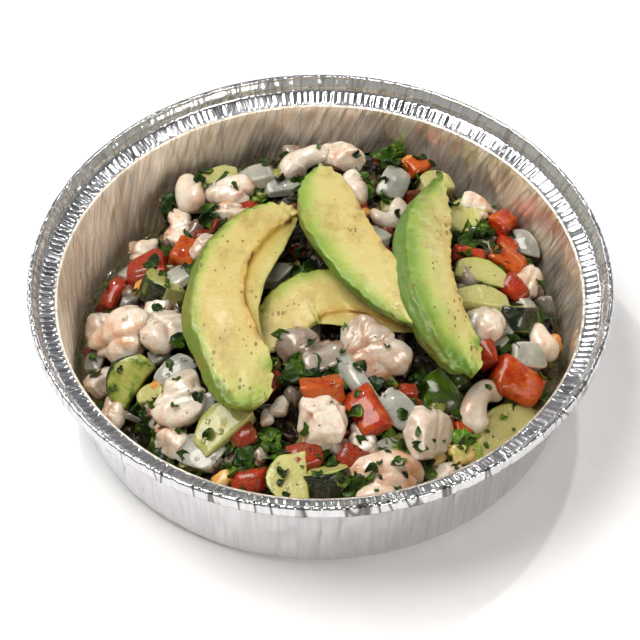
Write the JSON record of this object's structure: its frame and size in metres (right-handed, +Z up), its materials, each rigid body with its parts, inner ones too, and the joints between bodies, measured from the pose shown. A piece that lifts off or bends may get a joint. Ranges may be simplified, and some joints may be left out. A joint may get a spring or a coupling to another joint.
{
  "type": "shrimp ceviche in foil container",
  "caption": "Round aluminium-foil takeaway container of shrimp ceviche with tomato, cucumber, onion, coriander and lime juice, topped with avocado slices.",
  "frame": {"origin": "middle of the container's flat base, on the surface that it stands on", "axes": "+Z up out of the container, -Y towards the front, where the avocado slices' lower tips point, +X to the right"},
  "size_m": [0.181, 0.181, 0.0502],
  "materials": {
    "foil": "bright pressed foil",
    "juice": "clear wet",
    "salad": "wet",
    "avocado": "soft satin"
  },
  "bodies": {
    "root": {"foil_tray": "foil", "lime_juice": "juice", "ceviche_salad": "salad", "avocado_slice_1": "avocado", "avocado_slice_2": "avocado", "avocado_slice_3": "avocado", "avocado_slice_4": "avocado"}
  },
  "joints": []
}
